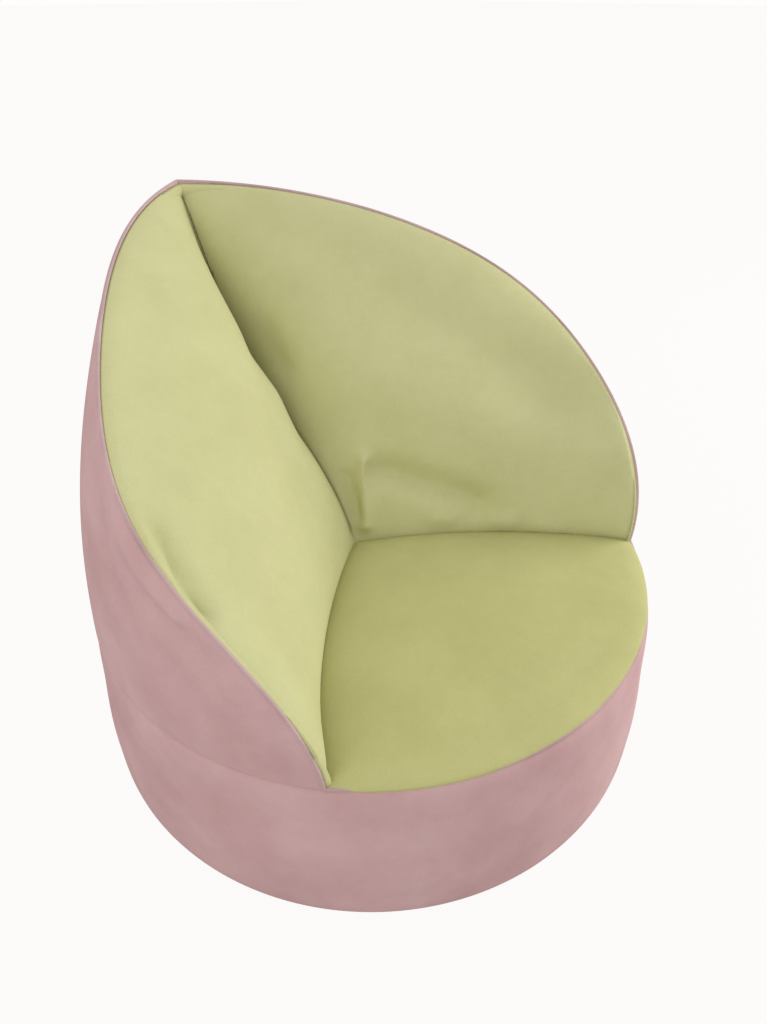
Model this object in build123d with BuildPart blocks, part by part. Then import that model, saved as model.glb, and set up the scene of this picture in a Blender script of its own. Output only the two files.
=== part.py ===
"""Child's round foam armchair: a drum seat with a pointed, leaf-shaped back.

Millimetres. The drum's axis is Z and the floor is Z = 0. The sitter faces -Y, and
the tip of the back stands at +Y. The left half mirrors the right half in X = 0.
"""
import math
import os

from build123d import *

os.makedirs("parts", exist_ok=True)

# Overall sizes
seat_radius = 270.0  # drum axis to the seat's edge seam
seat_height = 165.0  # floor to the seat's edge seam
back_rise = 316.0  # seat seam to the tip of the back
tip_reach = 279.0  # drum axis to the tip, seen from above
arm_angle = 128.8  # from the tip round to the front end of either arm
crease_foot = 28.0  # where the crease meets the seat, behind the drum's axis

# Cover and piping
skin = 1.6  # microfibre with its backing
ease = 0.4  # foam to cover
piping_radius = 1.6
mitre_lap = 6.4  # how far the rim piping runs on past the tip before it is mitred
seam_clear = 0.5  # piping to the panels that it is sewn between
foot_clear = 1.5  # seat panel to the foot of each back panel

# Padding
topper_thickness = 28.0
seat_crown = 10.0
crown_reach = 80.0  # the crown fades where the seat is shorter than this, between the arms' corners
panel_crown = 0.075  # swell of an inside back panel, per millimetre of its chord
shell_bulge = 0.045  # swell of an outside back panel, likewise
foot_bow = 16.0  # how far the seat reaches under each back panel, at mid length

# Drum wall
wall_tuck = 1.5  # how far the wall's top edge is drawn in under the seat seam
waist_swell = 5.0  # beyond the seat seam, at the waist
waist_height = 118.0
belly_swell = 11.0  # beyond the seat seam, at the belly
belly_height = 55.0
hem_radius = 14.0
tuck_slope = 0.25  # outward run per millimetre of drop, just under the seat seam

# Zip across the rear of the drum wall, each angle from the tip round the drum
zip_height = 37.0
zip_half_angle = 56.0
park_angle = 52.0  # where the slider stands when the zip is shut
stop_angle = 0.7
slot_width = 16.0
tape_width = 13.0
tape_thickness = 0.8
chain_width = 2.6
chain_thickness = 2.2
chain_gap = 1.6
chain_rounding = 0.7
stop_rise = 0.5
tape_lap = 1.0  # degrees that each tape runs on past the slot
recess_lap = 1.0  # degrees that the foam's recess runs on past the tapes
recess_play = 1.0  # above and below the tapes

# Zip slider and its pull
slider_length = 12.0
nose_flare = 0.9  # how much wider each side of the slider's shoulder is than its tail
shoulder_reach = 2.0  # from the slider's middle to its shoulder
plate_thickness = 1.0
flange_thickness = 1.0
slider_play = 0.25
post_length = 3.0
bail_width = 2.4
bail_wire = 1.0
bail_span = 7.0
pull_length = 24.0
pull_width = 8.0
pull_thickness = 1.6
pull_corner = 2.4
pull_play = 0.3


def polar(angle, reach, rise=0.0):
    """A point at an angle from the tip, seen from above, and a height over the seat seam."""
    turn = math.radians(angle)
    return Vector(reach * math.sin(turn), reach * math.cos(turn), seat_height + rise)


def rim_pull(across, back, up):
    """A point that pulls the rim towards it, as shares of the seat's radius and the back's rise."""
    return Vector(across * seat_radius, back * seat_radius, seat_height + up * back_rise)


# The seam lines of the right half. All of them run to the arm's front corner.
tip = polar(0, tip_reach, back_rise)
arm_corner = polar(arm_angle, seat_radius)
crease_start = polar(0, crease_foot)
back_start = polar(0, seat_radius)
front_start = polar(180, seat_radius)

with BuildLine() as rim_line:
    Bezier(
        tip,
        rim_pull(0.737, 0.653, 0.950),
        rim_pull(0.854, -0.287, 0.779),
        rim_pull(1.113, 0.298, 0.485),
        rim_pull(0.851, -0.659, 0.581),
        arm_corner,
    )

with BuildLine() as foot_line:
    foot_run = (arm_corner - crease_start).normalized()
    outward = Vector(-foot_run.Y, foot_run.X, 0)
    foot_middle = (crease_start + arm_corner) / 2
    ThreePointArc(crease_start, foot_middle + outward * foot_bow, arm_corner)

with BuildLine() as shell_line:
    ThreePointArc(back_start, polar(arm_angle / 2, seat_radius), arm_corner)

with BuildLine() as front_line:
    ThreePointArc(front_start, polar((180 + arm_angle) / 2, seat_radius), arm_corner)

# Where the slices stand along an arm: close together beside the crease and at the corner
arm_stations = [0.0, 0.04, 0.1, 0.18, 0.27, 0.36, 0.45, 0.54, 0.63, 0.72, 0.8, 0.87, 0.93, 0.97, 0.985]
crease_fade = 0.05  # how soon the padding swells up beside the crease, on the same scale


def set_back(run, seam):
    """How far along a run that meets a piped seam at a slant the piping reaches."""
    return (piping_radius + seam_clear) / math.sin(math.radians(run.get_angle(seam)))


def bowed(start, end, shares, rises):
    """Points on a chord, each lifted off it to the left by its rise."""
    run = (end - start).normalized()
    left = Vector(-run.Y, run.X, 0)
    lifted = [start + (end - start) * share + left * rise for share, rise in zip(shares, rises)]
    return [start, *lifted, end]


class ArmSlice:
    """A flat slice through the right arm, with corners on the foot, rim and shell seams."""

    def __init__(self, station):
        foot = foot_line.line @ station
        rim = rim_line.line @ station
        shell = shell_line.line @ station
        self.plane = Plane(foot, x_dir=shell - foot, z_dir=(shell - foot).cross(rim - foot))
        self.foot, self.rim, self.shell = (
            self.plane.to_local_coords(corner) for corner in (foot, rim, shell)
        )
        seam = rim_line.line % station
        axes = (self.plane.x_dir, self.plane.y_dir, self.plane.z_dir)
        self.seam = Vector(*(seam.dot(axis) for axis in axes))
        self.crease = math.exp(-station / crease_fade)

    def corners(self, inset):
        """The three corners, moved in from both padded sides but not from the base."""
        to_rim = (self.rim - self.foot).normalized()
        from_shell = (self.rim - self.shell).normalized()
        foot_angle = math.radians(to_rim.get_angle(Vector(1, 0, 0)))
        shell_angle = math.radians(from_shell.get_angle(Vector(-1, 0, 0)))
        half_rim_angle = (math.pi - foot_angle - shell_angle) / 2
        down = (to_rim + from_shell).normalized() * -1
        rim_drop = inset / math.sin(half_rim_angle)
        if inset:
            rim_drop = max(rim_drop, set_back(down, self.seam))
        return (
            self.foot + Vector(inset / math.sin(foot_angle), 0, 0),
            self.rim + down * rim_drop,
            self.shell - Vector(inset / math.sin(shell_angle), 0, 0),
        )

    def inside(self, inset, piped=False):
        """The sitter's side, from the foot seam up to the rim or to its piping."""
        foot, rim, _ = self.corners(inset)
        if piped:
            rim = self.beside_piping(foot, rim)
        chord = (rim - foot).length
        swell = panel_crown * chord * (1 - self.crease)
        sink = chord * self.crease
        rises = (0.70 * swell + 0.020 * sink, swell - 0.055 * sink, 0.75 * swell - 0.050 * sink)
        return bowed(foot, rim, (0.18, 0.5, 0.82), rises)

    def outside(self, inset, piped=False):
        """The shell's side, from the shell seam up to the rim or to its piping."""
        _, rim, shell = self.corners(inset)
        if piped:
            rim = self.beside_piping(shell, rim)
        bulge = shell_bulge * (rim - shell).length
        return bowed(shell, rim, (0.3, 0.7), (-0.8 * bulge, -bulge))

    def beside_piping(self, start, rim):
        """Where a run that ends on the rim meets the piping."""
        run = (rim - start).normalized()
        return rim - run * set_back(run, self.seam)


arm_slices = [ArmSlice(station) for station in arm_stations]


def panel_sections(side):
    """Sections of a back panel: its face, the face moved in by the skin, and two ends."""
    sections = []
    for arm_slice in arm_slices:
        with BuildSketch(arm_slice.plane, mode=Mode.PRIVATE) as section:
            with BuildLine():
                face = Spline(side(arm_slice, 0, piped=True))
                lining = Spline(side(arm_slice, skin))
                Line(face @ 0, lining @ 0)
                Line(face @ 1, lining @ 1)
            make_face()
        sections.append(section.sketch)
    return sections


def seat_line(station, lift):
    """The crowned seat on one upright plane, from the foot seam to the front seam."""
    foot = foot_line.line @ station
    front = front_line.line @ station
    run = front - foot
    plane = Plane(foot, x_dir=run, z_dir=run.cross(Vector(0, 0, 1)))
    start = Vector(foot_clear, lift, 0)
    end = Vector(run.length - set_back(run, front_line.line % station), lift, 0)
    crown = seat_crown * (1 - math.exp(-run.length / crown_reach))
    rises = (0.55 * crown, crown, 0.85 * crown, 0.4 * crown)
    return plane, bowed(start, end, (0.12, 0.45, 0.8, 0.95), rises)


# Levels and radii that several pieces share
belly_radius = seat_radius + belly_swell
topper_floor = seat_height - topper_thickness
tape_face = belly_radius - skin
tape_back = tape_face - tape_thickness
chain_face = tape_face + chain_thickness
chain_half = chain_gap / 2 + chain_width
recess_radius = tape_back - plate_thickness - 2 * slider_play
recess_half_width = chain_gap / 2 + tape_width + recess_play
recess_half_angle = zip_half_angle + tape_lap + recess_lap


def drum_section(inset):
    """Half of the drum's upright section, moved in from the wall and the floor."""
    top = (seat_radius - wall_tuck - inset, seat_height)
    waist = (seat_radius + waist_swell - inset, waist_height)
    belly = (belly_radius - inset, belly_height)
    hem = (belly_radius - inset, hem_radius)
    underside = (belly_radius - hem_radius, inset)
    with BuildSketch(Plane.XZ, mode=Mode.PRIVATE) as section:
        with BuildLine():
            Polyline(underside, (0, inset), (0, seat_height), top)
            Spline(top, waist, belly, tangents=[(tuck_slope, -1), (0, -1)])
            Line(belly, hem)
            RadiusArc(hem, underside, hem_radius - inset)
        make_face()
    return section.sketch


def ring_band(inner, outer, low, high, half_angle, centre_angle=0.0):
    """A stretch of a ring round the drum's axis, centred on an angle from the tip."""
    with BuildSketch(Plane.XZ, mode=Mode.PRIVATE) as band:
        with BuildLine():
            Polyline((inner, low), (outer, low), (outer, high), (inner, high), close=True)
        make_face()
    turned = revolve(band.sketch, Axis.Z, 2 * half_angle, mode=Mode.PRIVATE)
    return turned.rotate(Axis.Z, 90 - centre_angle - half_angle)


# Foam drum, glued under the topper, with a shallow recess behind the zip
with BuildPart() as drum_foam:
    revolve(drum_section(skin + ease), Axis.Z)
    split(bisect_by=Plane.XY.offset(topper_floor), keep=Keep.BOTTOM)
    recess = ring_band(
        recess_radius,
        belly_radius,
        zip_height - recess_half_width,
        zip_height + recess_half_width,
        recess_half_angle,
    )
    add(recess, mode=Mode.SUBTRACT)
drum_foam.part.label = "drum_foam"
export_step(drum_foam.part, "parts/drum_foam.step")

# Softer topper over the whole drum, crowned where the child sits
with BuildPart() as topper_foam:
    revolve(drum_section(skin + ease), Axis.Z)
    split(bisect_by=Plane.XY.offset(topper_floor), keep=Keep.TOP)
    crown_sections = []
    for station in arm_stations:
        seat_plane, crown_points = seat_line(station, 0)
        with BuildSketch(seat_plane, mode=Mode.PRIVATE) as crown_section:
            with BuildLine():
                crown_top = Spline(crown_points)
                Line(crown_top @ 0, crown_top @ 1)
            make_face()
        crown_sections.append(crown_section.sketch)
    half_crown = loft(crown_sections)
    mirror(half_crown, about=Plane.YZ)
topper_foam.part.label = "topper_foam"
export_step(topper_foam.part, "parts/topper_foam.step")

# Foam arms: each is one wedge from the crease to the arm's front corner
with BuildPart() as arm_foam_right:
    foam_sections = []
    for arm_slice in arm_slices:
        with BuildSketch(arm_slice.plane, mode=Mode.PRIVATE) as foam_section:
            with BuildLine():
                inside_line = Spline(arm_slice.inside(skin + ease))
                outside_line = Spline(arm_slice.outside(skin + ease))
                Line(inside_line @ 0, outside_line @ 0)
            make_face()
        foam_sections.append(foam_section.sketch)
    loft(foam_sections)
arm_foam_right.part.label = "arm_foam_right"
export_step(arm_foam_right.part, "parts/arm_foam_right.step")

with BuildPart() as arm_foam_left:
    mirror(arm_foam_right.part, about=Plane.YZ)
arm_foam_left.part.label = "arm_foam_left"
export_step(arm_foam_left.part, "parts/arm_foam_left.step")

# Seat panel, one piece of green microfibre from the crease's foot to the front seam
with BuildPart() as seat_panel:
    seat_sections = []
    for station in arm_stations:
        seat_plane, under_points = seat_line(station, ease)
        over_points = [point + Vector(0, skin, 0) for point in under_points]
        with BuildSketch(seat_plane, mode=Mode.PRIVATE) as seat_section:
            with BuildLine():
                under = Spline(under_points)
                over = Spline(over_points)
                Line(under @ 0, over @ 0)
                Line(under @ 1, over @ 1)
            make_face()
        seat_sections.append(seat_section.sketch)
    half_seat = loft(seat_sections)
    mirror(half_seat, about=Plane.YZ)
seat_panel.part.label = "seat_panel"
export_step(seat_panel.part, "parts/seat_panel.step")

# Inside back panels, green, joined to each other down the crease
with BuildPart() as back_panel_right:
    loft(panel_sections(ArmSlice.inside))
back_panel_right.part.label = "back_panel_right"
export_step(back_panel_right.part, "parts/back_panel_right.step")

with BuildPart() as back_panel_left:
    mirror(back_panel_right.part, about=Plane.YZ)
back_panel_left.part.label = "back_panel_left"
export_step(back_panel_left.part, "parts/back_panel_left.step")

# Outside back panels, dusty pink, joined to each other down the centre back
with BuildPart() as shell_panel_right:
    loft(panel_sections(ArmSlice.outside))
shell_panel_right.part.label = "shell_panel_right"
export_step(shell_panel_right.part, "parts/shell_panel_right.step")

with BuildPart() as shell_panel_left:
    mirror(shell_panel_right.part, about=Plane.YZ)
shell_panel_left.part.label = "shell_panel_left"
export_step(shell_panel_left.part, "parts/shell_panel_left.step")

# Drum wall, one pink strip round the drum, turned under at the hem and slotted for the zip
with BuildPart() as drum_wall:
    revolve(drum_section(0), Axis.Z)
    revolve(drum_section(skin), Axis.Z, mode=Mode.SUBTRACT)
    with BuildSketch():
        Circle(belly_radius - hem_radius)
    extrude(amount=skin, mode=Mode.SUBTRACT)
    slot = ring_band(
        recess_radius,
        belly_radius + skin,
        zip_height - slot_width / 2,
        zip_height + slot_width / 2,
        zip_half_angle,
    )
    add(slot, mode=Mode.SUBTRACT)
drum_wall.part.label = "drum_wall"
export_step(drum_wall.part, "parts/drum_wall.step")

# Base panel, a disc of non-slip fabric sewn inside the hem
with BuildPart() as base_panel:
    with BuildSketch():
        Circle(belly_radius - hem_radius)
    extrude(amount=skin)
base_panel.part.label = "base_panel"
export_step(base_panel.part, "parts/base_panel.step")

# Piping round the front of the seat, from one arm corner to the other
with BuildPart() as seat_piping:
    piping_level = seam_clear + piping_radius / 2
    piping_ends = [polar(turn, seat_radius, piping_level) for turn in (arm_angle, -arm_angle)]
    with BuildLine() as seat_piping_line:
        ThreePointArc(piping_ends[0], polar(180, seat_radius, piping_level), piping_ends[1])
    with BuildSketch(seat_piping_line.line ^ 0):
        Circle(piping_radius)
    sweep()
seat_piping.part.label = "seat_piping"
export_step(seat_piping.part, "parts/seat_piping.step")

# Piping up the rim of each arm, mitred at the tip of the back
with BuildPart() as rim_piping_right:
    with BuildLine() as rim_piping_line:
        Line(tip - (rim_line.line % 0) * mitre_lap, tip)
        add(rim_line.line.edge().trim(0.0, arm_stations[-1]))
    with BuildSketch(rim_piping_line.line ^ 0):
        Circle(piping_radius)
    sweep()
    split(bisect_by=Plane.YZ, keep=Keep.TOP)
rim_piping_right.part.label = "rim_piping_right"
export_step(rim_piping_right.part, "parts/rim_piping_right.step")

with BuildPart() as rim_piping_left:
    mirror(rim_piping_right.part, about=Plane.YZ)
rim_piping_left.part.label = "rim_piping_left"
export_step(rim_piping_left.part, "parts/rim_piping_left.step")

# Zip tapes and chains, one pair above the opening and one below it
for name, direction in (("upper", 1), ("lower", -1)):
    tape_edges = sorted(zip_height + direction * (chain_gap / 2 + width) for width in (0, tape_width))
    chain_edges = sorted(zip_height + direction * (chain_gap / 2 + width) for width in (0, chain_width))
    with BuildPart() as zip_tape:
        add(ring_band(tape_back, tape_face, *tape_edges, zip_half_angle + tape_lap))
    zip_tape.part.label = f"zip_tape_{name}"
    export_step(zip_tape.part, f"parts/zip_tape_{name}.step")

    with BuildPart() as zip_chain:
        add(ring_band(tape_face, chain_face, *chain_edges, zip_half_angle - stop_angle))
        outer_edges = zip_chain.edges().filter_by(GeomType.CIRCLE).sort_by(SortBy.RADIUS)[-2:]
        fillet(outer_edges, chain_rounding)
    zip_chain.part.label = f"zip_chain_{name}"
    export_step(zip_chain.part, f"parts/zip_chain_{name}.step")

# Metal stops clamped across both chains at either end
with BuildPart() as zip_stops:
    for turn in (-1, 1):
        stop = ring_band(
            tape_face,
            chain_face + stop_rise,
            zip_height - chain_half,
            zip_height + chain_half,
            stop_angle / 2,
            turn * (zip_half_angle - stop_angle / 2),
        )
        add(stop)
zip_stops.part.label = "zip_stops"
export_step(zip_stops.part, "parts/zip_stops.step")

# Zip slider: two plates joined by a post, flanges round the chains and a bail on top.
# Its own plane lies on the tapes' face, with X along the way it opens and Y up.
park_turn = math.radians(park_angle)
park_out = Vector(math.sin(park_turn), math.cos(park_turn), 0)
park_origin = park_out * tape_face + Vector(0, 0, zip_height)
slider_plane = Plane(park_origin, x_dir=(-park_out.Y, park_out.X, 0), z_dir=park_out)
channel_half = chain_half + slider_play
slider_half = channel_half + flange_thickness
top_level = chain_thickness + slider_play
pivot_level = top_level + plate_thickness + pull_play + pull_thickness / 2
bail_inside = pivot_level + pull_thickness / 2 + pull_play

with BuildPart() as zip_slider:
    with BuildSketch(slider_plane, mode=Mode.PRIVATE) as plate_outline:
        with BuildLine():
            shoulder = slider_half + nose_flare
            Polyline(
                (-slider_length / 2, slider_half),
                (shoulder_reach, shoulder),
                (slider_length / 2, slider_half),
                (slider_length / 2, -slider_half),
                (shoulder_reach, -shoulder),
                (-slider_length / 2, -slider_half),
                close=True,
            )
        make_face()
        fillet(plate_outline.vertices(), plate_thickness)
    extrude(plate_outline.sketch.moved(Location(park_out * top_level)), amount=plate_thickness)
    under_level = -tape_thickness - slider_play - plate_thickness
    extrude(plate_outline.sketch.moved(Location(park_out * under_level)), amount=plate_thickness)
    with BuildSketch(slider_plane.offset(under_level)):
        with Locations((slider_length / 2 - post_length, 0)):
            Rectangle(post_length, chain_gap - 2 * slider_play)
    extrude(amount=top_level - under_level)
    with BuildSketch(slider_plane.offset(slider_play)):
        for flange_side in (-1, 1):
            with Locations((0, flange_side * (channel_half + flange_thickness / 2))):
                Rectangle(slider_length - 2 * plate_thickness, flange_thickness)
    extrude(amount=top_level - slider_play)
    bail_plane = Plane(park_origin, x_dir=slider_plane.x_dir, z_dir=slider_plane.y_dir * -1)
    with BuildSketch(bail_plane):
        with BuildLine():
            bail_foot = top_level + plate_thickness / 2
            bail_top = bail_inside + bail_wire
            outer_half = bail_span / 2
            inner_half = outer_half - bail_wire
            Polyline(
                (-outer_half, bail_foot),
                (-outer_half, bail_top),
                (outer_half, bail_top),
                (outer_half, bail_foot),
                (inner_half, bail_foot),
                (inner_half, bail_inside),
                (-inner_half, bail_inside),
                (-inner_half, bail_foot),
                close=True,
            )
        make_face()
    extrude(amount=bail_width / 2, both=True)
zip_slider.part.label = "zip_slider"
export_step(zip_slider.part, "parts/zip_slider.step")

# Pull: a tab whose end bar turns in the bail, lying back along the shut zip
with BuildPart() as zip_pull:
    window_length = math.hypot(bail_span / 2, bail_top - pivot_level) + pull_play
    bar_half = pull_thickness / 2
    with BuildSketch(slider_plane.offset(pivot_level - bar_half)):
        with Locations((bar_half - pull_length / 2, 0)):
            RectangleRounded(pull_length, pull_width, pull_corner)
        with Locations((-(window_length + bar_half) / 2, 0)):
            Rectangle(window_length - bar_half, bail_width + 2 * pull_play, mode=Mode.SUBTRACT)
    extrude(amount=pull_thickness)
zip_pull.part.label = "zip_pull"
export_step(zip_pull.part, "parts/zip_pull.step")
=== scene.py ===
import math

import bmesh
import bpy
import numpy as np
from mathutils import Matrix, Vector


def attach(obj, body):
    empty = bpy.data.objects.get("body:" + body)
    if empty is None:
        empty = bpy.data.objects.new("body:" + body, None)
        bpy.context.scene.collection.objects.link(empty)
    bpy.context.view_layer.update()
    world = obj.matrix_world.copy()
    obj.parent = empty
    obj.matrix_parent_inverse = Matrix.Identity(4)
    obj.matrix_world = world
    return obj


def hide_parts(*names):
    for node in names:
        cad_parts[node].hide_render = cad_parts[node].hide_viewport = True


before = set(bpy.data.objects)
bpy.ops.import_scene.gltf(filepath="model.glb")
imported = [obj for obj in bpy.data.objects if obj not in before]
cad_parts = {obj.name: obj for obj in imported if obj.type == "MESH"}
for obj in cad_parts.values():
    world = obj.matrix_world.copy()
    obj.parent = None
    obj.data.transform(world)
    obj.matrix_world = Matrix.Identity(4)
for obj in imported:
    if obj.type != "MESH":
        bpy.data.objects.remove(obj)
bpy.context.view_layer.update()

# The view: a camera held 0.64 m up and close by, to the chair's front left, looking down on it.
# Its lens and place give the photograph's perspective on the drum and the rim.
bpy.ops.object.select_all(action="DESELECT")
camera_place = (-0.3960, -0.4222, 0.6405)
view_target = Vector((0.0612, 0.0480, 0.165))
bpy.ops.object.camera_add(location=camera_place)
camera = bpy.context.object
camera.rotation_euler = (view_target - camera.location).to_track_quat("-Z", "Y").to_euler()
camera.data.lens = 25.68
bpy.context.scene.camera = camera
bpy.context.scene.view_settings.view_transform = "Standard"


# The studio: a seamless white floor, one broad soft lamp from the chair's right and a dim fill.
# The floor is seen near white and still keeps a soft shadow where the chair stands.
def linear(hex_colour):
    """The linear colour of an sRGB hex value such as "c8c996"."""
    channels = [int(hex_colour[start:start + 2], 16) / 255 for start in (0, 2, 4)]
    return (*(c / 12.92 if c <= 0.04045 else ((c + 0.055) / 1.055) ** 2.4 for c in channels), 1.0)


def add_node(tree, kind, settings=None, **links):
    """A node with its settings, and its sockets set to values or linked to other sockets."""
    node = tree.nodes.new(kind)
    for name, value in (settings or {}).items():
        setattr(node, name, value)
    for name, value in links.items():
        key = name.replace("_", " ")
        socket = node.inputs[int(key[5:])] if key.startswith("input") else node.inputs[key]
        if isinstance(value, bpy.types.NodeSocket):
            tree.links.new(value, socket)
        else:
            socket.default_value = value
    return node


def new_material(name):
    """An empty node material and its output node."""
    material = bpy.data.materials.new(name)
    material.use_nodes = True
    material.node_tree.nodes.clear()
    return material, material.node_tree, material.node_tree.nodes.new("ShaderNodeOutputMaterial")


floor_size = 60
paper_glow = 0.96        # the share of plain white that the camera sees in the floor
room_strength = 0.65
white = linear("fefdfc")
bpy.ops.mesh.primitive_plane_add(size=floor_size)
floor = bpy.context.object
floor.name = "studio_floor"
floor_paint, tree, output = new_material("matt_white_studio_paper")
seen = add_node(tree, "ShaderNodeLightPath")
paper = add_node(tree, "ShaderNodeBsdfDiffuse", Color=linear("cfcdcb"))
backdrop = add_node(tree, "ShaderNodeEmission", Color=white, Strength=1.0)
lit = add_node(tree, "ShaderNodeMixShader", Fac=paper_glow, input1=paper.outputs[0],
               input2=backdrop.outputs[0])
shown = add_node(tree, "ShaderNodeMixShader", Fac=seen.outputs["Is Camera Ray"],
                 input1=paper.outputs[0], input2=lit.outputs[0])
tree.links.new(shown.outputs[0], output.inputs["Surface"])
floor.data.materials.append(floor_paint)

world = bpy.data.worlds.new("studio_room")
bpy.context.scene.world = world
world.use_nodes = True
world.node_tree.nodes.clear()
room_output = world.node_tree.nodes.new("ShaderNodeOutputWorld")
seen = add_node(world.node_tree, "ShaderNodeLightPath")
room_fill = add_node(world.node_tree, "ShaderNodeBackground", Color=linear("fdfcff"),
                     Strength=room_strength)
room_seen = add_node(world.node_tree, "ShaderNodeBackground", Color=white, Strength=1.0)
seen_directly = add_node(world.node_tree, "ShaderNodeMath", {"operation": "MAXIMUM"},
                         input0=seen.outputs["Is Camera Ray"], input1=seen.outputs["Is Glossy Ray"])
room = add_node(world.node_tree, "ShaderNodeMixShader", Fac=seen_directly.outputs[0],
                input1=room_fill.outputs[0], input2=room_seen.outputs[0])
world.node_tree.links.new(room.outputs[0], room_output.inputs["Surface"])

for name, place, size, watts in (
    ("key_lamp", (1.80, -0.95, 0.80), 1.3, 33),
    ("fill_lamp", (-1.50, -0.40, 1.30), 1.5, 12),
):
    bpy.ops.object.light_add(type="AREA", location=place)
    lamp = bpy.context.object
    lamp.name = name
    lamp.data.size = size
    lamp.data.energy = watts
    lamp.rotation_euler = (view_target - lamp.location).to_track_quat("-Z", "Y").to_euler()


# Two inside cushions: foam arms under green microfibre, sewn together down the crease.
# Each is drawn in at the crease, the foot and the rim, and is fuller in between.
seat_radius = 0.270
seat_height = 0.165
back_rise = 0.316
tip_reach = 0.279
arm_angle = math.radians(128.8)
crease_foot = 0.028
foot_bow = 0.016
crease_fade = 0.05       # the share of the arm over which the crease dies out
panel_crown = 0.075
shell_bulge = 0.045
foot_roll = 0.020        # how far the padding takes to roll up from each seam
rim_roll = 0.006
cover_roll = 0.012
centre_roll = 0.016      # the same beside the centre back seam, as a share of the arm
corner_share = 0.9995    # just short of the front corner, where the seams meet in a point


def polar(angle, reach, height=seat_height):
    """Points at angles from the tip, seen from above."""
    return np.stack([reach * np.sin(angle), reach * np.cos(angle), height + 0 * angle], -1)


def unit(vectors):
    """The vectors at length 1."""
    return vectors / np.linalg.norm(vectors, axis=-1, keepdims=True)


arm_corner = polar(np.array(arm_angle), seat_radius)
rim_pulls = np.array([
    (0, tip_reach / seat_radius, 1), (0.737, 0.653, 0.950), (0.854, -0.287, 0.779),
    (1.113, 0.298, 0.485), (0.851, -0.659, 0.581),
    (math.sin(arm_angle), math.cos(arm_angle), 0),
]) * (seat_radius, seat_radius, back_rise) + (0, 0, seat_height)
rim_steps = np.linspace(0, 1, 500)[:, None]
rim_curve = sum(
    math.comb(5, k) * (1 - rim_steps) ** (5 - k) * rim_steps ** k * pull
    for k, pull in enumerate(rim_pulls)
)
rim_run = np.concatenate([[0], np.cumsum(np.linalg.norm(np.diff(rim_curve, axis=0), axis=1))])
rim_run /= rim_run[-1]
crease_start = np.array((0, crease_foot, seat_height))
foot_chord = arm_corner - crease_start
foot_length = float(np.linalg.norm(foot_chord))
foot_radius = foot_length ** 2 / (8 * foot_bow) + foot_bow / 2
foot_outward = unit(np.array((-foot_chord[1], foot_chord[0], 0)))
foot_centre = (crease_start + arm_corner) / 2 + foot_outward * (foot_bow - foot_radius)
foot_turn = 2 * math.asin(foot_length / 2 / foot_radius)


def seam_points(share):
    """The foot, rim and shell seams of the right arm, at shares of their lengths."""
    rim = np.stack([np.interp(share, rim_run, rim_curve[:, axis]) for axis in range(3)], -1)
    turn = (share - 0.5) * foot_turn
    foot = foot_centre + foot_radius * (
        np.cos(turn)[..., None] * foot_outward + np.sin(turn)[..., None] * unit(foot_chord)
    )
    return foot, rim, polar(share * arm_angle, seat_radius)


def shoulder(distance, reach):
    """How far a padded edge has rolled up to its full height, from 0 at the seam to 1."""
    return np.sqrt(1 - (1 - np.clip(distance / reach, 0, 1)) ** 2)


def arm_surface(share, up, facing, puff=0.003, inset=0.0):
    """Points on the right arm's inside (facing 1) or outside (facing -1), from foot to rim."""
    share, up = np.minimum(share, corner_share), np.clip(up, 0, 1)
    foot, rim, shell = seam_points(share)
    across = np.cross(shell - foot, rim - foot)
    base = foot if facing > 0 else shell
    run = rim - base
    chord = np.linalg.norm(run, axis=-1)
    lift = unit(np.cross(unit(across), run))
    crease = np.exp(-share / crease_fade)
    if facing > 0:
        # The panel is fullest a little above its middle.
        swell = panel_crown * chord * (1 - crease) * (5.96 - 8.38 * up + 8.91 * up ** 2)
        # Down the crease it bows forward at the foot and back above.
        bow = chord * crease * (0.44 - 1.90 * up + 1.16 * up ** 2)
        edge = shoulder(up * chord, foot_roll) * (1 - np.exp(-(1 - up) * chord / rim_roll))
        rise = up * (1 - up) * (swell + bow) + puff * edge * (1 - crease)
    else:
        # The outside is fullest a little above its middle too.
        swell = shell_bulge * chord * (3.10 + 2.38 * up)
        edge = shoulder(up * chord, cover_roll) * shoulder((1 - up) * chord, cover_roll)
        rise = -up * (1 - up) * swell - puff * edge * shoulder(share, centre_roll)
    return base + run * up[..., None] + lift * (rise + facing * -inset)[..., None]


def eased(share, amount):
    """Shares that crowd towards both ends."""
    return (1 - amount) * share + amount * (0.5 - 0.5 * np.cos(math.pi * share))


def new_grid(name, columns, rows):
    """A grid primitive, and each vertex's share across and up it."""
    bpy.ops.object.select_all(action="DESELECT")
    bpy.ops.mesh.primitive_grid_add(x_subdivisions=columns, y_subdivisions=rows, size=1)
    piece = bpy.context.object
    piece.name = name
    piece.data.name = name
    places = read_points(piece)
    return piece, places[:, 0] + 0.5, places[:, 1] + 0.5


def read_points(piece):
    """The places of a piece's vertices."""
    places = np.empty(len(piece.data.vertices) * 3)
    piece.data.vertices.foreach_get("co", places)
    return places.reshape(-1, 3)


def write_points(piece, points):
    """Moves a piece's vertices to these points."""
    piece.data.vertices.foreach_set("co", np.ascontiguousarray(points, dtype=np.float64).ravel())
    piece.data.update()


def read_normals(piece):
    """The directions that a piece's vertices face."""
    normals = np.empty(len(piece.data.vertices) * 3)
    piece.data.vertices.foreach_get("normal", normals)
    return normals.reshape(-1, 3)


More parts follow.
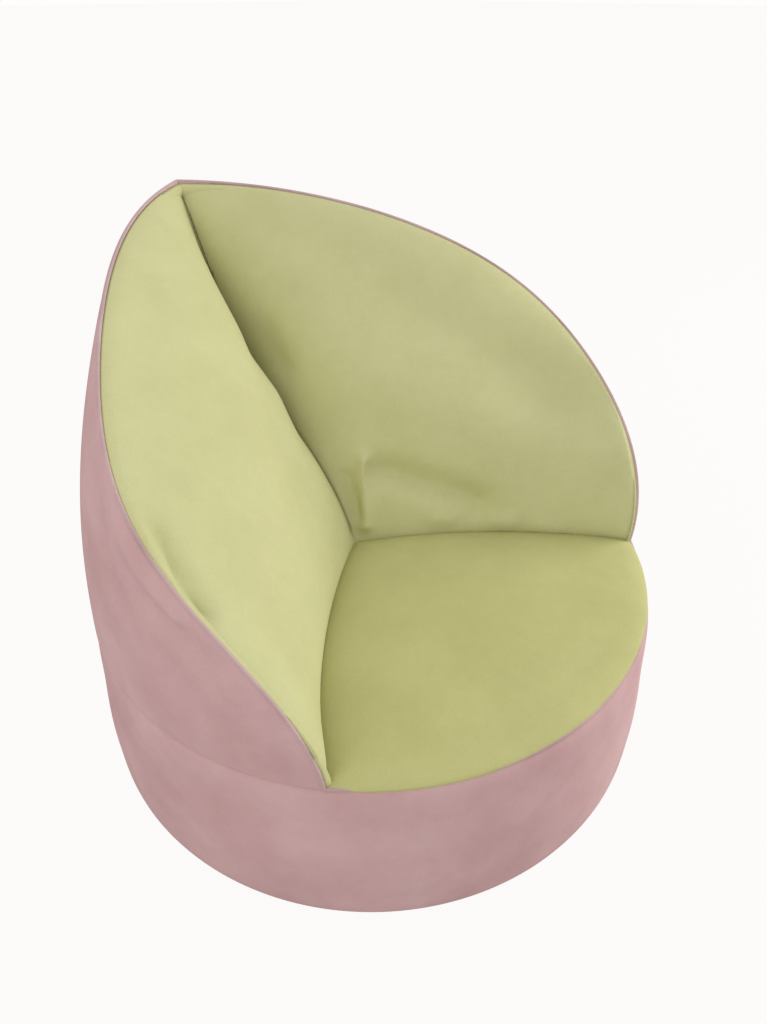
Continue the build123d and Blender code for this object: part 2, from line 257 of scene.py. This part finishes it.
def sew_up(piece, gap=0.00002):
    """Joins the edges that meet, closes what is open and turns the faces outwards."""
    bpy.ops.object.select_all(action="DESELECT")
    piece.select_set(True)
    bpy.context.view_layer.objects.active = piece
    bpy.ops.object.mode_set(mode="EDIT")
    bpy.ops.mesh.select_all(action="SELECT")
    bpy.ops.mesh.remove_doubles(threshold=gap)
    bpy.ops.mesh.dissolve_degenerate(threshold=gap)
    bpy.ops.mesh.select_all(action="DESELECT")
    bpy.ops.mesh.select_mode(type="EDGE")
    bpy.ops.mesh.select_non_manifold()
    bpy.ops.mesh.edge_face_add()
    bpy.ops.mesh.select_all(action="SELECT")
    bpy.ops.mesh.normals_make_consistent(inside=False)
    bpy.ops.mesh.select_mode(type="VERT")
    bpy.ops.object.mode_set(mode="OBJECT")
    # A closed piece whose volume comes out below 0 is inside out.
    sewn = bmesh.new()
    sewn.from_mesh(piece.data)
    if sewn.calc_volume(signed=True) < 0:
        bmesh.ops.reverse_faces(sewn, faces=sewn.faces)
    sewn.to_mesh(piece.data)
    sewn.free()


def finish_with(piece, kind, **settings):
    """Adds a modifier to a piece and applies it."""
    modifier = piece.modifiers.new(kind.lower(), kind)
    for name, value in settings.items():
        setattr(modifier, name, value)
    bpy.context.view_layer.objects.active = piece
    bpy.ops.object.modifier_apply(modifier=modifier.name)


def smooth(piece):
    """One round of subdivision, which rounds a padded piece off."""
    finish_with(piece, "SUBSURF", levels=1, render_levels=1)


def sharpen_seams(piece, angle=0.9):
    """Keeps the sewn edges where they are when the rest is smoothed."""
    bpy.context.view_layer.objects.active = piece
    bpy.ops.object.mode_set(mode="EDIT")
    bpy.ops.mesh.select_mode(type="EDGE")
    bpy.ops.mesh.select_all(action="DESELECT")
    bpy.ops.mesh.edges_select_sharp(sharpness=angle)
    bpy.ops.transform.edge_crease(value=1)
    bpy.ops.mesh.select_mode(type="VERT")
    bpy.ops.object.mode_set(mode="OBJECT")


def fold(piece, path, width, height, seen_from=None):
    """Raises a soft ridge along a path of points, or presses in a valley where height is below 0.
    With seen_from, only the side that faces that point moves."""
    points, normals = read_points(piece), read_normals(piece)
    nearest = np.full(len(points), np.inf)
    for start, end in zip(path[:-1], path[1:]):
        run = end - start
        along = np.clip((points - start) @ run / (run @ run), 0, 1)
        nearest = np.minimum(nearest, np.linalg.norm(points - start - along[:, None] * run, axis=1))
    push = height * np.exp(-(nearest / width) ** 2)
    if seen_from is not None:
        # The push dies out where the piece turns away from that point.
        facing = (normals * unit(seen_from - points)).sum(-1)
        push = push * np.clip(3 * facing, 0, 1)
    write_points(piece, points + normals * push[:, None])


def brushed_microfibre(name, light, mid, dark, sheen):
    """Suede-like knitted microfibre: a matt nap that lies this way and that, in soft patches."""
    material, tree, output = new_material(name)
    place = add_node(tree, "ShaderNodeTexCoord").outputs["Object"]
    # The patches are about 70 mm across and the brush strokes about 12 mm. The nap's fibres are
    # finer than is drawn here: they are about 1 mm long so that they show.
    patches = add_node(tree, "ShaderNodeTexNoise", Vector=place, Scale=14.0, Detail=3.0,
                       Roughness=0.55)
    strokes = add_node(tree, "ShaderNodeTexNoise", Vector=place, Scale=85.0, Detail=4.0,
                       Roughness=0.6)
    nap = add_node(tree, "ShaderNodeTexNoise", Vector=place, Scale=900.0, Detail=2.0,
                   Roughness=0.7)
    tone = add_node(tree, "ShaderNodeValToRGB", Fac=patches.outputs["Fac"])
    tone.color_ramp.elements[0].position = 0.30
    tone.color_ramp.elements[0].color = linear(dark)
    tone.color_ramp.elements[1].position = 0.70
    tone.color_ramp.elements[1].color = linear(light)
    tone.color_ramp.elements.new(0.5).color = linear(mid)
    fleck = add_node(tree, "ShaderNodeMapRange", Value=strokes.outputs["Fac"], From_Min=0.3,
                     From_Max=0.7, To_Min=0.985, To_Max=1.015)
    grain = add_node(tree, "ShaderNodeMapRange", Value=nap.outputs["Fac"], From_Min=0.25,
                     From_Max=0.75, To_Min=0.95, To_Max=1.05)
    shade = add_node(tree, "ShaderNodeMath", {"operation": "MULTIPLY"},
                     input0=fleck.outputs[0], input1=grain.outputs[0])
    dyed = add_node(tree, "ShaderNodeMix", {"data_type": "RGBA", "blend_type": "MULTIPLY"},
                    input0=1.0, input6=tone.outputs["Color"], input7=shade.outputs[0])
    pile = add_node(tree, "ShaderNodeBump", Strength=0.35, Distance=0.0004,
                    Height=nap.outputs["Fac"])
    brushed = add_node(tree, "ShaderNodeBump", Strength=0.30, Distance=0.0012,
                       Height=strokes.outputs["Fac"], Normal=pile.outputs[0])
    surface = add_node(tree, "ShaderNodeBsdfPrincipled", Base_Color=dyed.outputs["Result"],
                       Roughness=0.92, Normal=brushed.outputs[0])
    surface.inputs["Specular IOR Level"].default_value = 0.22
    surface.inputs["Sheen Weight"].default_value = sheen
    surface.inputs["Sheen Roughness"].default_value = 0.45
    surface.inputs["Sheen Tint"].default_value = linear(light)
    tree.links.new(surface.outputs[0], output.inputs["Surface"])
    return material


# The seat is the same green microfibre in a darker, deeper copy of its colours: painted shade for
# the seat's darker look under this light. It also has a little less sheen.
green_microfibre = brushed_microfibre(
    "brushed_microfibre_green", light="c6c592", mid="c3c28e", dark="bfbe8a", sheen=0.10)
seat_microfibre_painted_shade = brushed_microfibre(
    "brushed_microfibre_green_painted_shade", light="bebc80", mid="bab87c", dark="b6b478", sheen=0.08)
pink_microfibre = brushed_microfibre(
    "brushed_microfibre_dusty_pink", light="ccaaa8", mid="c6a2a0", dark="bf9a98", sheen=0.12)


def dress(piece, material, body):
    """Gives a finished piece its cloth, smooth shading, body and material slot."""
    piece.data.materials.clear()
    piece.data.materials.append(material)
    bpy.ops.object.select_all(action="DESELECT")
    piece.select_set(True)
    bpy.context.view_layer.objects.active = piece
    bpy.ops.object.shade_smooth()
    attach(piece, body)


# Folds that sitting has left: shares along the arm and up it, then width and height in metres.
cushion_folds = {
    "right": (
        (((0.10, 0.90), (0.27, 0.76), (0.46, 0.66), (0.66, 0.66)), 0.035, -0.0070),
        (((0.08, 0.60), (0.18, 0.46), (0.40, 0.40), (0.72, 0.50)), 0.040, 0.0070),
        (((0.100, 0.22), (0.074, 0.12), (0.050, 0.05)), 0.0075, 0.0090),
        (((0.135, 0.19), (0.20, 0.18), (0.32, 0.15), (0.44, 0.11)), 0.016, -0.0105),
        (((0.042, 0.18), (0.032, 0.08)), 0.0075, -0.0050),
        (((0.30, 0.055), (0.34, 0.055)), 0.010, 0.0030),
        (((0.50, 0.050), (0.56, 0.050)), 0.010, 0.0035),
        (((0.66, 0.050), (0.72, 0.050)), 0.012, 0.0030),
        (((0.03, 0.60), (0.03, 0.50)), 0.014, -0.0040),
    ),
    "left": (
        (((0.635, 0.945), (0.675, 0.925), (0.715, 0.90)), 0.012, -0.0085),
        (((0.73, 0.94), (0.83, 0.92), (0.92, 0.88)), 0.014, -0.0035),
        (((0.15, 0.75), (0.33, 0.55), (0.55, 0.45)), 0.045, 0.0030),
        (((0.22, 0.93), (0.40, 0.90), (0.55, 0.93)), 0.020, -0.0025),
        (((0.02, 0.58), (0.07, 0.55)), 0.016, -0.0024),
        (((0.02, 0.45), (0.05, 0.44)), 0.016, 0.0020),
        (((0.02, 0.33), (0.06, 0.31)), 0.016, -0.0015),
    ),
}


def arm_path(spots, facing, mirror):
    """The points of a fold, from its shares along an arm and up it."""
    along, up = np.array(spots).T
    return arm_surface(along, up, facing) * (mirror, 1, 1)


# A cushion's grid runs up its inside, down its rear within the outer cover, and back under it.
sitter = np.array((0, -0.05, 0.32))
inside_share, rear_share = 0.64, 0.93
rear_inset = 0.009
for side, mirror in (("right", 1), ("left", -1)):
    cushion, along, around = new_grid(f"back_cushion_{side}", 150, 104)
    along = eased(along, 0.25)
    up_inside = eased(np.clip(around / inside_share, 0, 1), 0.45)
    down_rear = 1 - (around - inside_share) / (rear_share - inside_share)
    back_in = (around - rear_share) / (1 - rear_share)
    inside = arm_surface(along, up_inside, 1)
    rear = arm_surface(along, down_rear, -1, puff=0.0, inset=rear_inset)
    shell_edge = arm_surface(along, np.zeros_like(along), -1, puff=0.0, inset=rear_inset)
    foot_edge = arm_surface(along, np.zeros_like(along), 1)
    under = shell_edge + (foot_edge - shell_edge) * np.clip(back_in, 0, 1)[:, None]
    points = np.where((around <= inside_share)[:, None], inside,
                      np.where((around <= rear_share)[:, None], rear, under))
    write_points(cushion, points * (mirror, 1, 1))
    sew_up(cushion)
    sharpen_seams(cushion)
    smooth(cushion)
    for spots, width, height in cushion_folds[side]:
        fold(cushion, arm_path(spots, 1, mirror), width, height, seen_from=sitter)
    dress(cushion, green_microfibre, "chair")
    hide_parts(f"back_panel_{side}", f"arm_foam_{side}")


# Two outside covers: dusty-pink microfibre drawn over the foam, joined down the centre back.
# Each is sewn to the rim piping above and folds softly over the drum's wall below.
cover_folds = {
    "right": (
        (((0.58, 0.90), (0.64, 0.88), (0.70, 0.86)), 0.009, 0.0035),
        (((0.66, 0.78), (0.72, 0.74), (0.79, 0.72)), 0.014, -0.0035),
        (((0.20, 0.30), (0.30, 0.45)), 0.022, -0.0025),
    ),
    "left": (
        (((0.645, 0.93), (0.696, 0.915), (0.735, 0.915)), 0.0080, 0.0034),
        (((0.70, 0.82), (0.76, 0.84), (0.80, 0.865)), 0.013, -0.0045),
        (((0.60, 0.80), (0.655, 0.66)), 0.014, -0.0035),
        (((0.75, 0.60), (0.86, 0.45)), 0.020, -0.0020),
    ),
}
cover_thickness = 0.002
for side, mirror in (("right", 1), ("left", -1)):
    cover, along, up = new_grid(f"outer_cover_{side}", 150, 60)
    points = arm_surface(eased(along, 0.2), eased(up, 0.4), -1, puff=0.002)
    write_points(cover, points * (mirror, 1, 1))
    if mirror > 0:
        cover.data.flip_normals()
    smooth(cover)
    for spots, width, height in cover_folds[side]:
        fold(cover, arm_path(spots, -1, mirror), width, height)
    finish_with(cover, "SOLIDIFY", thickness=cover_thickness, offset=-1)
    sew_up(cover)
    dress(cover, pink_microfibre, "chair")
    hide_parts(f"shell_panel_{side}")


# The seat cushion: a soft foam topper under green microfibre, on the whole of the drum.
# It is crowned where the child sits, rolls over the front edge and dips at both arms.
seat_crown = 0.0115
edge_lift = 0.0012       # how far the topper's edge stands over the seat's height
edge_drop = 0.0072       # how far the edge turns down
side_drop = 0.0222       # and from there to the drum's foam
side_draw = 0.985        # the share of its width that the topper keeps below its edge
front_roll = 0.020       # how far the padding takes to roll up from the edge and from the arms
arm_roll = 0.024
roll_height = 0.0055
crown_reach = 0.05
rear_tuck = 0.005        # how far the edge is drawn in behind the arms
tuck_rate = 20           # how fast that sets in past the arm's corner, per radian


def disc_places(across, deep):
    """Where a square grid's vertices lie once it is drawn out to a round disc of radius 1."""
    square_x, square_y = 2 * across - 1, 2 * deep - 1
    return square_x * np.sqrt(1 - square_y ** 2 / 2), square_y * np.sqrt(1 - square_x ** 2 / 2)


seat, across, deep = new_grid("seat_cushion", 120, 120)
disc_x, disc_y = disc_places(across, deep)
reach = np.hypot(disc_x, disc_y)
spread = np.where(reach > 0, eased(reach, 0.3) / np.maximum(reach, 1e-9), 1)
# Behind the arms the topper's edge stays inside the pink cover.
before_arms = np.clip(
    (np.arctan2(np.abs(disc_x), disc_y) - arm_angle) * tuck_rate + 1, 0, 1)
edge_radius = seat_radius - rear_tuck * (1 - before_arms)
seat_x, seat_y = disc_x * spread * edge_radius, disc_y * spread * edge_radius
from_foot = foot_radius - np.hypot(np.abs(seat_x) - foot_centre[0], seat_y - foot_centre[1])
from_edge = seat_radius - np.hypot(seat_x, seat_y)
roll = shoulder(from_edge, front_roll) * shoulder(from_foot, arm_roll)
dome = (
    (1 - np.exp(-np.clip(from_edge, 0, 1) / crown_reach))
    * (1 - np.exp(-np.clip(from_foot, 0, 1) / crown_reach))
)
top = seat_height + edge_lift + roll * roll_height + dome * (seat_crown - roll_height)
write_points(seat, np.stack([seat_x, seat_y, top], -1))
bpy.ops.object.mode_set(mode="EDIT")
bpy.ops.mesh.select_mode(type="EDGE")
bpy.ops.mesh.select_all(action="DESELECT")
bpy.ops.mesh.select_non_manifold()
bpy.ops.mesh.extrude_region_move(TRANSFORM_OT_translate={"value": (0, 0, -edge_drop)})
bpy.ops.transform.resize(value=(side_draw, side_draw, 1), center_override=(0, 0, 0))
bpy.ops.mesh.extrude_region_move(TRANSFORM_OT_translate={"value": (0, 0, -side_drop)})
bpy.ops.object.mode_set(mode="OBJECT")
smooth(seat)
sew_up(seat)
# The seat's darker green is painted shade.
dress(seat, seat_microfibre_painted_shade, "chair")
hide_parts("seat_panel", "topper_foam")


# The drum's cover: one strip of dusty-pink microfibre round the firm foam drum.
# It is tucked under the seat's edge, swells at the belly and turns under at the hem,
# and a slot in its rear is hemmed for the zip.
belly_radius = 0.281
hem_radius = 0.014
zip_height = 0.037
slot_half = 0.008
slot_half_angle = math.radians(56)
slot_hem = 0.001
wall_thickness = 0.0015
# Reach and height, from the seat's edge over the belly, past the slot and round the hem.
wall_profile = np.array([
    (0.2657, 0.1668), (0.2693, 0.1635), (0.2715, 0.1590), (0.2727, 0.1500), (0.2741, 0.1350),
    (0.2752, 0.1180), (0.2776, 0.0950), (0.2799, 0.0740), (belly_radius, 0.0550),
    (belly_radius, zip_height + slot_half + slot_hem), (belly_radius, zip_height + slot_half),
    (belly_radius, zip_height),
    (belly_radius, zip_height - slot_half), (belly_radius, zip_height - slot_half - slot_hem),
    (belly_radius, hem_radius), (0.2799, 0.0086), (0.2769, 0.0041), (0.2724, 0.0011),
    (belly_radius - hem_radius, 0.0), (0.2600, 0.0),
])
wall, around, down = new_grid("drum_cover", 360, len(wall_profile) - 1)
row = down[:, None] * (len(wall_profile) - 1)
low_row = np.minimum(row.astype(int), len(wall_profile) - 2)
past_row = row - low_row
profile = (
    wall_profile[low_row[:, 0]] * (1 - past_row) + wall_profile[low_row[:, 0] + 1] * past_row
)
angle = (around - 0.5) * 2 * math.pi
write_points(wall, polar(angle, profile[:, 0], profile[:, 1]))
bpy.ops.object.mode_set(mode="EDIT")
bpy.ops.mesh.select_mode(type="FACE")
bpy.ops.mesh.select_all(action="DESELECT")
bpy.ops.object.mode_set(mode="OBJECT")
for face in wall.data.polygons:
    centre = face.center
    face.select = (
        abs(centre.z - zip_height) < slot_half
        and abs(math.atan2(centre.x, centre.y)) < slot_half_angle
    )
bpy.ops.object.mode_set(mode="EDIT")
bpy.ops.mesh.delete(type="FACE")
bpy.ops.mesh.select_all(action="SELECT")
bpy.ops.mesh.remove_doubles(threshold=0.00002)
bpy.ops.mesh.normals_make_consistent(inside=False)
bpy.ops.object.mode_set(mode="OBJECT")
finish_with(wall, "SOLIDIFY", thickness=wall_thickness, offset=-1)
smooth(wall)
dress(wall, pink_microfibre, "chair")
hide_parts("drum_wall", "drum_foam")


# The base panel: a flat disc of dark non-slip fabric with fine rubber dots.
# It is sewn inside the drum cover's hem and lies flat on the floor.
base_gap = 0.001
base_top = 0.0016
base_thickness = 0.0015
base, across, deep = new_grid("base_disc", 60, 60)
base_x, base_y = disc_places(across, deep)
base_radius = belly_radius - hem_radius - base_gap
write_points(
    base, np.stack([base_x * base_radius, base_y * base_radius, base_top + 0 * base_x], -1))
finish_with(base, "SOLIDIFY", thickness=base_thickness, offset=-1)
smooth(base)
rubber_dots, tree, output = new_material("dotted_nonslip_polyester")
place = add_node(tree, "ShaderNodeTexCoord").outputs["Object"]
# Dark woven polyester, with paler rubber dots that stand a little proud on a 4 mm pitch.
dots = add_node(tree, "ShaderNodeTexVoronoi", Vector=place, Scale=250.0, Randomness=0.0)
dot = add_node(tree, "ShaderNodeMapRange", Value=dots.outputs["Distance"], From_Min=0.30,
               From_Max=0.38, To_Min=1.0, To_Max=0.0)
dot_colour = add_node(tree, "ShaderNodeMix", {"data_type": "RGBA"}, input0=dot.outputs[0],
                      input6=linear("5f5a5a"), input7=linear("3b3838"))
raised = add_node(tree, "ShaderNodeBump", Strength=0.6, Distance=0.0006, Height=dot.outputs[0])
surface = add_node(tree, "ShaderNodeBsdfPrincipled", Base_Color=dot_colour.outputs["Result"],
                   Roughness=0.8, Normal=raised.outputs[0])
tree.links.new(surface.outputs[0], output.inputs["Surface"])
dress(base, rubber_dots, "chair")
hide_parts("base_panel")


# Piping: a thin cord sewn inside a bias strip of paler pink microfibre.
# One length runs round the seat's front seam, and one up each rim from the corner to the tip.
piping_radius = 0.0016
seat_cord_lift = 0.0013
seat_cord_points = 9
piping_cloth = brushed_microfibre("bias_cut_piping_cloth", "c9adab", "bda09e", "ae908e", 0.2)


def piping(name, points, node, order):
    """A length of piping, drawn as a smooth curve of this order that the points pull."""
    bpy.ops.object.select_all(action="DESELECT")
    bpy.ops.curve.primitive_nurbs_path_add()
    cord = bpy.context.object
    cord.name = name
    spline = cord.data.splines[0]
    spline.points.add(len(points) - len(spline.points))
    for target, point in zip(spline.points, points):
        target.co = (*point, 1)
    spline.order_u = order
    spline.use_endpoint_u = True
    spline.resolution_u = 40
    cord.data.dimensions = "3D"
    cord.data.bevel_depth = piping_radius
    cord.data.bevel_resolution = 4
    cord.data.use_fill_caps = True
    bpy.ops.object.convert(target="MESH")
    cord = bpy.context.object
    cord.data.name = name
    dress(cord, piping_cloth, "chair")
    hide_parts(node)


for side, mirror in (("right", 1), ("left", -1)):
    piping(f"rim_cord_{side}", rim_pulls * (mirror, 1, 1), f"rim_piping_{side}", 6)
front_turns = np.linspace(arm_angle, 2 * math.pi - arm_angle, seat_cord_points)
front_seam = polar(front_turns, seat_radius, seat_height + seat_cord_lift)
piping("seat_cord", front_seam, "seat_piping", 4)


# The zip's tapes: woven polyester ribbon, sewn behind both edges of the slot.
# Its chain is two rows of moulded nylon teeth, and its slider, pull and stops are plated zinc.
# The ribbon's ribs are 1 mm apart.
tape_cloth, tree, output = new_material("woven_polyester_zip_tape")
place = add_node(tree, "ShaderNodeTexCoord").outputs["Object"]
ribs = add_node(tree, "ShaderNodeTexWave", {"bands_direction": "Z"}, Vector=place, Scale=320.0)
rib_shade = add_node(tree, "ShaderNodeMix", {"data_type": "RGBA"}, input0=ribs.outputs["Fac"],
                     input6=linear("a98585"), input7=linear("b99696"))
rib_bump = add_node(tree, "ShaderNodeBump", Strength=0.5, Distance=0.0003,
                    Height=ribs.outputs["Fac"])
surface = add_node(tree, "ShaderNodeBsdfPrincipled", Base_Color=rib_shade.outputs["Result"],
                   Roughness=0.7, Normal=rib_bump.outputs[0])
tree.links.new(surface.outputs[0], output.inputs["Surface"])

# Moulded nylon has a soft highlight and a faint grain from its mould, under 2 mm across.
nylon, tree, output = new_material("moulded_nylon_teeth")
place = add_node(tree, "ShaderNodeTexCoord").outputs["Object"]
speckle = add_node(tree, "ShaderNodeTexNoise", Vector=place, Scale=600.0)
rough = add_node(tree, "ShaderNodeBump", Strength=0.15, Distance=0.0002,
                 Height=speckle.outputs["Fac"])
surface = add_node(tree, "ShaderNodeBsdfPrincipled", Base_Color=linear("b08c8c"),
                   Roughness=0.38, IOR=1.53, Normal=rough.outputs[0])
tree.links.new(surface.outputs[0], output.inputs["Surface"])

# Nickel plate on cast zinc is bright, with duller rubs about 3 mm across.
plated_zinc, tree, output = new_material("nickel_plated_zinc")
place = add_node(tree, "ShaderNodeTexCoord").outputs["Object"]
rubs = add_node(tree, "ShaderNodeTexNoise", Vector=place, Scale=300.0, Detail=3.0)
wear = add_node(tree, "ShaderNodeMapRange", Value=rubs.outputs["Fac"], To_Min=0.22, To_Max=0.42)
surface = add_node(tree, "ShaderNodeBsdfPrincipled", Base_Color=linear("c9c7c4"), Metallic=1.0,
                   Roughness=wear.outputs[0])
tree.links.new(surface.outputs[0], output.inputs["Surface"])

tape_face = 0.2794
chain_gap = 0.0016
tape_width = 0.013
tape_thickness = 0.0006
tape_play = 0.0001       # how far the ribbon lies behind its face and back from the chain's gap
tape_half_angle = math.radians(57)
for name, direction in (("upper", 1), ("lower", -1)):
    tape, around, high = new_grid(f"zip_ribbon_{name}", 160, 12)
    angle = (around - 0.5) * 2 * tape_half_angle
    from_chain = chain_gap / 2 + tape_play + high * (tape_width - tape_play)
    write_points(tape, polar(angle, tape_face - tape_play, zip_height + direction * from_chain))
    if direction > 0:
        tape.data.flip_normals()
    finish_with(tape, "SOLIDIFY", thickness=tape_thickness, offset=-1)
    dress(tape, tape_cloth, "chair")
    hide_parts(f"zip_tape_{name}")

# The two rows of teeth are half a pitch apart, so that they mesh.
chain_half_angle = math.radians(55.1)
tooth_pitch = 0.0022
tooth_size = (0.00135, 0.0021, 0.0025)
tooth_bevel = 0.0004
tooth_rise = 0.0013      # from the edge of the chain's gap to the tooth's middle
tooth_stand = 0.00105    # from the ribbon's face to the tooth's middle
tooth_count = int(2 * chain_half_angle * tape_face / tooth_pitch)
for name, direction in (("upper", 1), ("lower", -1)):
    bpy.ops.object.select_all(action="DESELECT")
    bpy.ops.mesh.primitive_cube_add(size=1)
    tooth = bpy.context.object
    tooth.name = f"zip_teeth_{name}"
    tooth.scale = tooth_size
    bpy.ops.object.transform_apply(scale=True)
    finish_with(tooth, "BEVEL", width=tooth_bevel, segments=1)
    one_tooth = read_points(tooth)
    middle = zip_height + direction * (chain_gap / 2 + tooth_rise)
    radius = tape_face + tooth_stand + one_tooth[:, 1]
    faces = [list(face.vertices) for face in tooth.data.polygons]
    points, all_faces = [], []
    for index in range(tooth_count):
        share = (index + 0.5 + 0.25 * direction) / tooth_count
        turn = share * 2 * chain_half_angle - chain_half_angle
        sine, cosine = math.sin(turn), math.cos(turn)
        points.append(np.stack([radius * sine + one_tooth[:, 0] * cosine,
                                radius * cosine - one_tooth[:, 0] * sine,
                                middle + one_tooth[:, 2]], -1))
        all_faces += [[vertex + index * len(one_tooth) for vertex in face] for face in faces]
    mesh = bpy.data.meshes.new(tooth.name)
    mesh.from_pydata(np.concatenate(points).tolist(), [], all_faces)
    tooth.data = mesh
    bpy.ops.object.mode_set(mode="EDIT")
    bpy.ops.mesh.select_all(action="SELECT")
    bpy.ops.mesh.normals_make_consistent(inside=False)
    bpy.ops.object.mode_set(mode="OBJECT")
    tooth.data.materials.append(nylon)
    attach(tooth, "chair")
    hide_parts(f"zip_chain_{name}")

for node in ("zip_stops", "zip_slider", "zip_pull"):
    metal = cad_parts[node]
    metal.data.materials.clear()
    metal.data.materials.append(plated_zinc)
